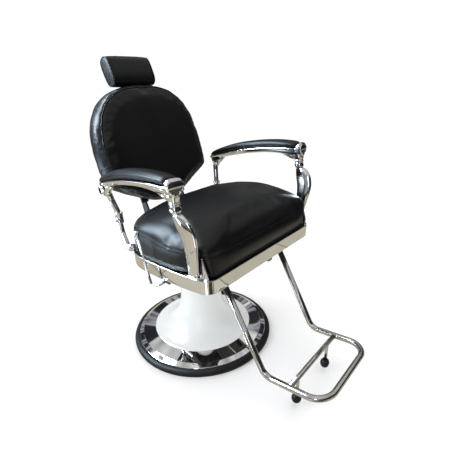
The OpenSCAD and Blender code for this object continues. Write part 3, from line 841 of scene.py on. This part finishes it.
def build_seat_cushion():
    peak = LEDGE + 0.149
    centre = Vector((0, -0.133))
    walls = [(0.011, 0.0005), (0.0078, 0.004), (0.0078, 0.009), (0.0092, 0.022), (0.0085, 0.048),
        (0.0096, 0.066), (0.0085, 0.08)]
    rings = []
    for inset, height in walls:
        rings.append([(x, y, LEDGE + height) for x, y in seat_outline(inset)])
    shoulder = 0.04
    for k in range(1, 9):
        angle = math.pi / 2 * k / 8
        ring = []
        for x, y in seat_outline(0.0085):
            spot = Vector((x, y))
            inward = (centre - spot).normalized() * shoulder * (1 - math.cos(angle))
            flat = spot + inward
            top = crown(flat.x, flat.y, peak)
            low = LEDGE + 0.08
            ring.append((flat.x, flat.y, low + (top - low) * math.sin(angle)))
        rings.append(ring)
    rim = [Vector(p[:2]) for p in rings[-1]]
    for scale in (0.88, 0.74, 0.58, 0.42, 0.26, 0.12):
        ring = []
        for spot in rim:
            flat = centre + (spot - centre) * scale
            ring.append((flat.x, flat.y, crown(flat.x, flat.y, peak)))
        rings.append(ring)
    cushion = loft("seat_cushion_cover", rings)
    mend(cushion.data, 1e-5)
    inflate(cushion, 0.0075, 3.0, 0.01, 16, pinned=lambda p: 1.0 if p.z < LEDGE + 0.012 else 0.0)
    relax(cushion, 12)
    # the crown falls a little towards the back
    for v in cushion.data.vertices:
        v.co.z -= 0.01 * clamp((v.co.z - 0.56) / 0.05) * clamp((v.co.y + 0.13) / 0.18)
    keep_above(cushion, LEDGE + 0.0003)
    # the strut stands in a hollow at each front corner
    for v in cushion.data.vertices:
        x, y, z = v.co
        near = math.exp(-((y + 0.3) / 0.046) ** 2) * clamp((abs(x) - 0.2) / 0.09)
        v.co.x -= math.copysign(0.021 * near * clamp((0.6 - z) / 0.08), x)
    seam = [(x, y, LEDGE + 0.07) for x, y in seat_outline(0.009, (20, 20, 30, 20))]
    sides = [p for p in seam if p[1] > -0.3385]
    line = laid_on(cushion, sides, 0.0)
    pleats = []
    for side in (-1, 1):
        fold = [(side * 0.297, -0.123 - 0.01 * k / 16, 0.572 - 0.046 * k / 16) for k in range(17)]
        pleats.append(laid_on(cushion, fold, 0.0))
    subdivide(cushion)
    groove(cushion, line, 0.0022, 0.0032)
    for fold in pleats:
        groove(cushion, fold, 0.0016, 0.0036)
    relax(cushion, 1, 0.3)
    push_out(cushion, ripples(0.0004, 0.0012))
    keep_above(cushion, LEDGE + 0.0003)
    finish(cushion, VINYL, "seat", "seat_cushion")
    stitches = tube("seat_side_seam", laid_on(cushion, line, 0.0004), 0.0011, 8, closed=False)
    finish(stitches, VINYL, "seat")
    welt_path = [(x, y, LEDGE + 0.0048) for x, y in seat_outline(0.0075, (20, 20, 30, 20))]
    welt = tube("seat_bottom_welt", laid_on(cushion, welt_path, 0.0006), 0.003, 10, closed=True)
    finish(welt, VINYL, "seat")


# ---- arms

ARM_TURN = math.radians(6.06)
ARM_X = 0.313
ARM_Y = -0.28


def arm_spot(u, t, z):
    """Point on the right arm: u outward, t back along the arm, z up."""
    return Vector((
        -(ARM_X + u * math.cos(ARM_TURN) - t * math.sin(ARM_TURN)),
        ARM_Y + u * math.sin(ARM_TURN) + t * math.cos(ARM_TURN), z))


# along the arm: t, half width inside, half width outside, top of the metal, underside
ARM_KEYS = [
    (0.008, 0.02, 0.02, 0.7765, 0.76), (0.014, 0.025, 0.025, 0.7765, 0.752),
    (0.03, 0.0275, 0.0275, 0.7762, 0.749), (0.06, 0.0284, 0.0294, 0.776, 0.748),
    (0.11, 0.0276, 0.0324, 0.7735, 0.75), (0.16, 0.027, 0.0336, 0.768, 0.7475),
    (0.21, 0.0266, 0.0334, 0.7605, 0.741), (0.26, 0.0254, 0.032, 0.7515, 0.7325),
    (0.31, 0.0236, 0.0284, 0.74, 0.7215), (0.36, 0.0206, 0.0238, 0.7265, 0.7095),
    (0.4, 0.0168, 0.019, 0.715, 0.7005), (0.425, 0.0132, 0.0146, 0.7075, 0.695),
    (0.4385, 0.01, 0.01, 0.704, 0.6965)]
PAD_KEYS = [
    (0.027, 0.018, 0.018, 0.7905), (0.03, 0.0225, 0.0225, 0.7945), (0.04, 0.0252, 0.0256, 0.798),
    (0.07, 0.0268, 0.0284, 0.7995), (0.11, 0.0264, 0.031, 0.7985), (0.16, 0.0258, 0.0322, 0.7945),
    (0.21, 0.0254, 0.032, 0.7878), (0.26, 0.0242, 0.0306, 0.779), (0.31, 0.0224, 0.0272, 0.767),
    (0.36, 0.0194, 0.0226, 0.751), (0.4, 0.0156, 0.0178, 0.736), (0.424, 0.0118, 0.0132, 0.724),
    (0.4335, 0.008, 0.0085, 0.715)]


def casting_section(t, inside, outside, top, low):
    """Moulded section of the arm rail: lip, cove, body, narrow keel."""
    deep = top - low

    def side(half):
        keel = half * 0.5
        return [
            (half * 0.2, top), (half - 0.002, top), (half, top - 0.0014), (half, top - 0.0042),
            (half - 0.0026, top - 0.006), (half - 0.003, top - deep * 0.42),
            (half - 0.0042, top - deep * 0.6), (keel + 0.004, top - deep * 0.86),
            (keel - 0.002, low + 0.0008), (keel * 0.4, low)]

    full = side(outside) + [(-u, z) for u, z in reversed(side(inside))]
    return [arm_spot(u, t, z) for u, z in full]


def shield_low(u):
    """Lower edge of the shield on the arm's front, falling to a point in the middle."""
    return 0.765 - 0.02 * max(0.0, 1 - abs(u) / 0.025)


def head_section(t, half, top, drop):
    """Front of the arm: domed above the lip, pointed below it."""
    ring = []
    for k in range(25):
        angle = math.pi * k / 24
        c, sine = math.cos(angle), math.sin(angle)
        across = half * math.copysign(abs(c) ** (2 / 3.2), c)
        ring.append((across, 0.776 + (top - 0.776) * sine ** (2 / 2.4)))
    for k in range(1, 24):
        u = half * (-1 + 2 * k / 24)
        ring.append((u, shield_low(u * 0.025 / half) - drop))
    return [arm_spot(u, t, z) for u, z in ring]


def arm_stack(name, keys, steps, power, count):
    """Upright piece of the arm from sections: height, place along the arm, half depth, half width."""
    return loft(name, [
        [arm_spot(u, t + v, z) for v, u in superellipse(along, across, power, count)]
        for z, t, along, across in smooth_path(keys, steps)])


def sink_flutes(casting):
    """Upright flutes in the front of the head."""
    half, top, edge = 0.0225, 0.7735, 0.002
    for v in casting.data.vertices:
        local_x = -v.co.x - ARM_X
        local_y = v.co.y - ARM_Y
        u = local_x * math.cos(ARM_TURN) + local_y * math.sin(ARM_TURN)
        t = -local_x * math.sin(ARM_TURN) + local_y * math.cos(ARM_TURN)
        z = v.co.z
        low = shield_low(u) + 0.004
        if t < 0.012 and abs(u) < half and low < z < top:
            fade = min(1.0, (half - abs(u)) / edge) * min(1.0, (z - low) / edge) * min(1.0,
                (top - z) / edge)
            ridge = 0.5 + 0.5 * math.cos(u / half * math.pi * 5)
            v.co.y += fade * (0.0016 + 0.0026 * ridge)


def build_castings():
    keys = smooth_path(ARM_KEYS, 5)
    rail = loft("rail", [casting_section(*key) for key in keys])
    head_keys = [
        (0.003, 0.0215, 0.778, -0.003), (0.0036, 0.024, 0.783, -0.001), (0.006, 0.0262, 0.79, 0.0),
        (0.011, 0.027, 0.795, 0.0005), (0.018, 0.0272, 0.796, 0.001), (0.0245, 0.027, 0.7925, 0.001),
        (0.0265, 0.0268, 0.78, 0.001), (0.029, 0.0262, 0.7764, 0.0), (0.044, 0.0235, 0.7761, -0.002),
        (0.06, 0.019, 0.7761, -0.006)]
    head = loft("head", [head_section(*key) for key in head_keys])
    neck_keys = [
        (0.762, 0.034, 0.029, 0.02), (0.75, 0.03, 0.026, 0.019), (0.74, 0.0235, 0.0185, 0.016),
        (0.734, 0.021, 0.015, 0.014), (0.731, 0.0203, 0.0168, 0.0155), (0.728, 0.02, 0.0168, 0.0155),
        (0.725, 0.0197, 0.014, 0.0132), (0.719, 0.0192, 0.0158, 0.015), (0.713, 0.0188, 0.0168, 0.0158),
        (0.707, 0.0186, 0.0155, 0.0146), (0.703, 0.0188, 0.012, 0.0115), (0.699, 0.019, 0.0085, 0.009)]
    neck = arm_stack("neck", neck_keys, 3, 2.4, 32)
    knee_keys = [(0.03, 0.012, 0.745, 0.012), (0.05, 0.013, 0.744, 0.011), (0.07, 0.014, 0.75, 0.009),
        (0.095, 0.013, 0.756, 0.006)]
    knee = loft("knee", [
        [arm_spot(u, t, z + v) for u, v in superellipse(half, tall, 2.4, 24)]
        for t, half, z, tall in smooth_path(knee_keys, 4)])
    # rear claw over the top of the rear strut
    claw_keys = [
        (0.712, 0.399, 0.037, 0.013), (0.7, 0.402, 0.0325, 0.0135), (0.688, 0.406, 0.025, 0.013),
        (0.678, 0.4085, 0.0165, 0.012), (0.67, 0.41, 0.0125, 0.011), (0.664, 0.411, 0.0105, 0.01)]
    claw = arm_stack("claw", claw_keys, 4, 3.0, 28)
    turns = [2 * math.pi * k / 28 for k in range(28)]
    ear = loft("ear", [
        [arm_spot(u, 0.424 + 0.013 * math.cos(a), 0.683 + 0.014 * math.sin(a)) for a in turns]
        for u in (0.01, 0.0165)])
    casting = join("arm_frame_right", [rail, head, neck, knee, claw, ear])
    voxel_merge(casting, 0.0013, 5)
    sink_flutes(casting)
    finish_pair(casting, CAST_CHROME, "seat", "arm_frame_left", "arm_casting")


def metal_top(t):
    """Top of the arm's metal at a place along it."""
    level = ARM_KEYS[-1][3]
    for a, b in zip(ARM_KEYS[1:], ARM_KEYS[2:]):
        if a[0] <= t <= b[0]:
            share = (t - a[0]) / (b[0] - a[0])
            level = a[3] + (b[3] - a[3]) * share
    return level


def build_arm_pads():
    rings = []
    for t, inside, outside, top in smooth_path(PAD_KEYS, 4):
        low = metal_top(t) + 0.0004
        tall = top - low
        mid = low + tall * 0.3
        ring = []
        for u, v in superellipse(1.0, 1.0, 2.3, 40):
            half = outside if u > 0 else inside
            rise = top - mid if v > 0 else mid - low
            ring.append(arm_spot(u * half, t, mid + v * rise))
        rings.append(ring)
    pad = loft("arm_cushion_right", rings)
    mend(pad.data, 1e-5)
    inflate(pad, 0.0035, 2.0, 0.0018, 10)
    relax(pad, 3)
    subdivide(pad)
    for made in finish_pair(pad, VINYL, "seat", "arm_cushion_left", "arm_pad"):
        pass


STRUT_LEAN = math.radians(8.3)

# up the front strut: height, front, back, half thickness
STRUT_KEYS = [
    (0.000, -0.312, -0.258, 0.015), (0.004, -0.31, -0.26, 0.014), (0.009, -0.306, -0.262, 0.0115),
    (0.018, -0.3035, -0.2625, 0.0098), (0.045, -0.308, -0.265, 0.0095), (0.08, -0.315, -0.267, 0.01),
    (0.112, -0.321, -0.266, 0.011), (0.138, -0.323, -0.262, 0.0118), (0.162, -0.319, -0.255, 0.012),
    (0.18, -0.311, -0.2505, 0.0115), (0.192, -0.3, -0.2485, 0.0102), (0.2, -0.287, -0.25, 0.008),
    (0.2035, -0.277, -0.256, 0.005)]


def build_front_struts():
    rings = []
    for z, front, back, thick in smooth_path(STRUT_KEYS, 5):
        mid = (front + back) / 2
        long = (back - front) / 2
        power = 2.0 if z > 0.02 else 2.0 + (0.02 - z) * 60
        ring = []
        for v, u in superellipse(long, thick, power, 44):
            # the outer face rises to a soft ridge ahead of the middle
            ridge = 0.0016 * math.exp(-((v + long * 0.25) / (long * 0.3)) ** 2) if z > 0.02 else 0.0
            outward = u + (ridge if u > 0 else -ridge)
            x = outward * math.cos(STRUT_LEAN) + z * math.sin(STRUT_LEAN)
            up = z * math.cos(STRUT_LEAN) - outward * math.sin(STRUT_LEAN)
            ring.append(Vector((-(0.284 + x), mid + v, LEDGE + up)))
        rings.append(ring)
    blade = loft("blade", rings)
    foot = loft("foot", [
        [Vector((-0.284 + u, -0.285 + v, LEDGE + z))
         for u, v in superellipse(0.015 - trim, 0.027 - trim, 6.0, 44)]
        for z, trim in ((0.0003, 0.0), (0.004, 0.0), (0.0056, 0.0006), (0.0062, 0.002))])
    leaf_keys = [
        (0.000, -0.33, -0.298), (0.012, -0.329, -0.299), (0.028, -0.325, -0.301), (0.044, -0.3195, -0.303),
        (0.058, -0.3145, -0.3055), (0.066, -0.311, -0.308)]
    leaf = loft("leaf", [
        [Vector((-0.2745 + u, (front + back) / 2 + v, LEDGE + z))
         for v, u in superellipse((back - front) / 2, 0.0034, 2.0, 24)]
        for z, front, back in smooth_path(leaf_keys, 4)])
    strut = join("front_post_right", [blade, foot, leaf])
    voxel_merge(strut, 0.0014, 3)
    keep_above(strut, LEDGE)
    finish_pair(strut, CAST_CHROME, "seat", "front_post_left", "front_strut")


def build_rear_struts():
    corners = [(-0.264, 0.129, 0.67), (-0.251, 0.116, 0.604), (-0.25, 0.113, 0.528),
        (-0.268, 0.063, 0.493), (-0.2585, 0.042, 0.493)]
    path = bent_path(corners, [0, 0.04, 0.026, 0.016, 0])
    fine = []
    for a, b in zip(path, path[1:]):
        pieces = max(1, int((b - a).length / 0.004))
        fine += [a + (b - a) * k / pieces for k in range(pieces)]
    fine.append(path[-1])
    length = [0.0]
    for a, b in zip(fine, fine[1:]):
        length.append(length[-1] + (b - a).length)
    whole = length[-1]
    radii = []
    for s in length:
        rest = whole - s
        flare = 0.0035 * math.exp(-(rest / 0.01) ** 2)
        radii.append(0.01 + flare + 0.0012 * math.exp(-(s / 0.012) ** 2))
    bar = tube("rear_post_right", fine, radii, 28)
    collar_z = [
        (0.0105, -0.018), (0.0135, -0.018), (0.0142, -0.0165), (0.0142, -0.0125), (0.0132, -0.0115),
        (0.0132, 0.0115), (0.0142, 0.0125), (0.0142, 0.0165), (0.0135, 0.018), (0.0105, 0.018)]
    place = Matrix.Translation((-0.2504, 0.1138, 0.585))
    collar = lathe("rear_sleeve_right", collar_z, 48, place)
    flange = rounded([
        (0.0, -0.004), (0.0135, -0.004), (0.0135, 0.0035), (0.01, 0.0065), (0.0, 0.0065)],
        [0, 0.001, 0.002, 0.003, 0], 4)
    place = Matrix.Translation((-0.2645, 0.0482, 0.493)) @ facing((-0.43, 0.9, 0))
    cap = lathe("rear_flange_right", flange, 40, place)
    bar_full = join("rear_post_right", [bar, cap])
    finish_pair(bar_full, CHROME, "seat", "rear_post_left", "rear_strut")
    other = mirrored(collar, "rear_sleeve_left")
    both = join("rear_sleeves", [collar, other])
    finish(both, CHROME, "seat", "rear_collars")


# ---- backrest

BACK_LEAN = math.radians(15)
BACK_AT = Vector((0, 0.146, 0.7))
BACK_HALF = 0.226


def back_spot(x, y, z):
    """Point in the backrest's own frame: y to the rear, z up the slope."""
    return BACK_AT + Vector((
        x, y * math.cos(BACK_LEAN) + z * math.sin(BACK_LEAN),
        z * math.cos(BACK_LEAN) - y * math.sin(BACK_LEAN)))


def back_outline(inset, count=96):
    """Closed outline of the backrest, evenly spaced."""
    a = BACK_HALF - inset
    b = 0.243 - inset
    points = []
    for i in range(49):
        angle = math.pi * i / 48
        c, s = math.cos(angle), math.sin(angle)
        points.append((a * math.copysign(abs(c) ** (2 / 2.6), c), 0.057 + b * s ** (2 / 2.6)))
    left = [
        (-a + 0.001, 0.03), (-a + 0.004, 0.000), (-a + 0.012, -0.02 + inset * 0.5),
        (-0.176 + inset * 0.4, -0.04 + inset), (-0.125, -0.066 + inset), (-0.076, -0.089 + inset),
        (-0.04, -0.103 + inset), (-0.015, -0.108 + inset)]
    points += left + [(-x, z) for x, z in reversed(left)]
    closed = smooth_path(points, 3, closed=True)
    spots = [Vector(p) for p in closed] + [Vector(closed[0])]
    total = sum((b2 - a2).length for a2, b2 in zip(spots, spots[1:]))
    out = []
    walked = 0.0
    target = 0.0
    for a2, b2 in zip(spots, spots[1:]):
        step = (b2 - a2).length
        while target <= walked + step and len(out) < count:
            share = (target - walked) / step if step else 0
            out.append(tuple(a2 + (b2 - a2) * share))
            target += total / count
        walked += step
    return out


def back_ring(inset, y, count=96):
    return [back_spot(x, y, z) for x, z in back_outline(inset, count)]


def shrunk_ring(inset, y, scale):
    """Outline drawn in towards the middle of the backrest."""
    centre = Vector((0, 0.085))
    flat = [centre + (Vector(p) - centre) * scale for p in back_outline(inset)]
    return [back_spot(p.x, y, p.y) for p in flat]


def build_back():
    layers = [
        (0.01, 0.001), (0.0025, 0.0045), (-0.002, 0.01), (-0.0058, 0.03), (-0.0064, 0.05), (-0.0055, 0.07),
        (-0.003, 0.082), (0.003, 0.0885), (0.014, 0.0905)]
    rings = [shrunk_ring(0.012, -0.004 * (1 - scale ** 2), scale) for scale in (0.1, 0.3, 0.5, 0.7, 0.86)]
    rings += [back_ring(inset, y) for inset, y in layers]
    rings += [shrunk_ring(0.016, 0.0905, scale) for scale in (0.86, 0.6, 0.3, 0.1)]
    cover = loft("back_cushion_cover", rings)
    mend(cover.data, 1e-5)
    inflate(cover, 0.0065, 2.5, 0.008, 16)
    relax(cover, 2)
    line = laid_on(cover, back_ring(0.0035, 0.004, 240), 0.0)
    subdivide(cover)
    groove(cover, line, 0.0018, 0.003)
    push_out(cover, ripples(0.0004, 0.0012))
    finish(cover, VINYL, "back", "back_cushion")
    piping = tube("back_front_piping", laid_on(cover, line, 0.001), 0.0021, 10, closed=True)
    finish(piping, VINYL, "back")
    rear_line = laid_on(cover, back_ring(0.006, 0.089, 240), 0.001)
    rear_piping = tube("back_rear_piping", rear_line, 0.0021, 10, closed=True)
    finish(rear_piping, VINYL, "back")
    for side in (-1, 1):
        x = side * (BACK_HALF + 0.004)
        cross = [back_spot(x, 0.008 + 0.078 * k / 16, 0.05 - 0.014 * k / 16) for k in range(17)]
        name = "back_side_seam_left" if side > 0 else "back_side_seam_right"
        seam = tube(name, laid_on(cover, cross, 0.0004), 0.0017, 8)
        finish(seam, VINYL, "back")
    # closing panel on the rear, set inside the piping
    steps = ((0.013, 0.09), (0.0135, 0.0925), (0.016, 0.094), (0.02, 0.0946))
    flats = ((0.88, 0.0952), (0.7, 0.0957), (0.5, 0.096), (0.3, 0.0962), (0.1, 0.0962))
    rings = [back_ring(inset, y) for inset, y in steps]
    rings += [shrunk_ring(0.02, y, scale) for scale, y in flats]
    panel = loft("back_outer_panel", rings)
    push_out(panel, ripples(0.0002, 0.0008))
    finish(panel, VINYL, "back", "back_rear_panel")


# ---- headrest

def head_spot(x, y, z):
    lean = math.radians(9)
    return back_spot(
        x, 0.0566 + y * math.cos(lean) + z * math.sin(lean),
        0.357 + z * math.cos(lean) - y * math.sin(lean))


def build_headrest():
    half = 0.0895
    sections = [
        (-half, 0.004, 0.01), (-half, 0.01, 0.024), (-half, 0.016, 0.037), (-half + 0.0003, 0.0225, 0.044),
        (-half + 0.002, 0.0262, 0.0472), (-half + 0.006, 0.028, 0.0488), (-half + 0.02, 0.0288, 0.0496),
        (-half * 0.5, 0.0292, 0.0502), (0.0, 0.0294, 0.0504)]
    keys = sections + [(-x, y, z) for x, y, z in reversed(sections[:-1])]
    rings = [[head_spot(x, y, z) for y, z in superellipse(hy, hz, 3.1, 56)] for x, hy, hz in keys]
    pad = loft("headrest_cover", rings)
    mend(pad.data, 1e-5)
    inflate(pad, 0.004, 2.0, 0.0022, 12)
    relax(pad, 6)
    seams = []
    for side in (-1, 1):
        edge = superellipse(0.0262, 0.0472, 3.1, 96)
        seams.append(laid_on(pad, [head_spot(side * (half - 0.0015), y, z) for y, z in edge], 0.0006))
    subdivide(pad)
    for line in seams:
        groove(pad, line, 0.0012, 0.0022)
    finish(pad, VINYL, "headrest", "headrest_pad")
    for line, name in zip(seams, ("right", "left")):
        piping = tube(f"headrest_piping_{name}", line, 0.0019, 10, closed=True)
        finish(piping, VINYL, "headrest")


# ---- footrest and lever

def build_footrest():
    rail_y, rail_z, feet_x = -0.549, 0.1339, 0.105
    x = 0.161
    axle = (-0.2656, 0.4514)
    side_run = [axle, (-0.454, 0.124), (-0.675, 0.147)]
    corners = [(x, *p) for p in side_run] + [(-x, *p) for p in reversed(side_run)]
    path = bent_path(corners, [0, 0.045, 0.065, 0.065, 0.045, 0], 18)
    bar = tube("footrest_bar", path, 0.011, 32)
    finish(bar, STEEL, "footrest", "footrest_tube")
    parts = [tube("footrest_rail_bar", [(across, rail_y, rail_z) for across in (-x, 0, x)], 0.009, 28)]
    stub_profile = [
        (0.0, 0.038), (0.0058, 0.038), (0.0058, 0.12), (0.0062, 0.124), (0.0076, 0.1275), (0.0, 0.13)]
    turns = [2 * math.pi * k / 36 for k in range(36)]
    for side in (-1, 1):
        place = Matrix.Translation((side * feet_x, rail_y, 0))
        stub = lathe("stub", stub_profile, 28, place, closed=False)
        ring = [
            (side * (x - 0.01), rail_y + 0.0102 * math.cos(a),
                rail_z + 0.0102 * math.sin(a)) for a in turns]
        bead = tube("bead", ring, [0.0014 + 0.0003 * math.sin(7 * k) for k in range(36)], 8, closed=True)
        parts += [stub, bead]
    rails = join("footrest_rail", parts)
    finish(rails, STEEL, "footrest", "footrest_crossbar")
    feet = []
    profile = [
        (0.0, 0.0205), (0.0085, 0.0205), (0.012, 0.022), (0.015, 0.027), (0.0168, 0.033), (0.0172, 0.039),
        (0.016, 0.0455), (0.013, 0.051), (0.009, 0.054), (0.0068, 0.055)]
    turned = smooth_path(profile, 3) + [(0.0062, 0.0552)]
    for side in (-1, 1):
        place = Matrix.Translation((side * feet_x, rail_y, 0))
        feet.append(lathe("foot", turned, 40, place, closed=False))
    finish(join("footrest_rubber_feet", feet), RUBBER, "footrest", "footrest_feet")


def build_lever():
    rod_x = -0.326
    y, z = -0.16, 0.449
    corners = [(-0.106, y, z), (rod_x, y, z), (rod_x, y + 0.031, z - 0.013), (rod_x, -0.092, 0.598)]
    path = bent_path(corners, [0, 0.013, 0.011, 0], 12)
    bar = tube("release_bar", path, 0.0041, 20)
    finish(bar, CHROME, "release_lever", "release_lever")
    ball = [(0.0, -0.0095)] + [
        (0.0095 * math.sin(a), -0.0095 * math.cos(a)) for a in (math.pi * k / 24 for k in range(4, 25))]
    neck = [(0.0041, -0.0165), (0.006, -0.016), (0.0064, -0.0125), (0.0056, -0.01), (0.0052, -0.0088)]
    place = Matrix.Translation((rod_x, -0.0905, 0.6045)) @ facing((0, 0.0076, 0.036))
    knob = lathe("release_ball", neck + ball[3:], 40, place, closed=False)
    finish(knob, CHROME, "release_lever", "release_knob")


# ---- what stays from the frame

def dress_frame():
    slots = {part["node"]: part["material_slot"] for part in frame["record"]["subparts"]}
    for name, made in nodes.items():
        # the underside of the seat board is blacked out
        material = PAINT if name == "seat_board" else FINISH[slots[name]]
        for place in made.material_slots:
            place.material = material
        if not made.material_slots:
            made.data.materials.append(material)


place_camera()
make_world()
make_stage()
scene.view_settings.view_transform = "Standard"
dress_frame()
build_base()
build_band()
build_seat_cushion()
build_castings()
build_arm_pads()
build_front_struts()
build_rear_struts()
build_back()
build_headrest()
build_footrest()
build_lever()
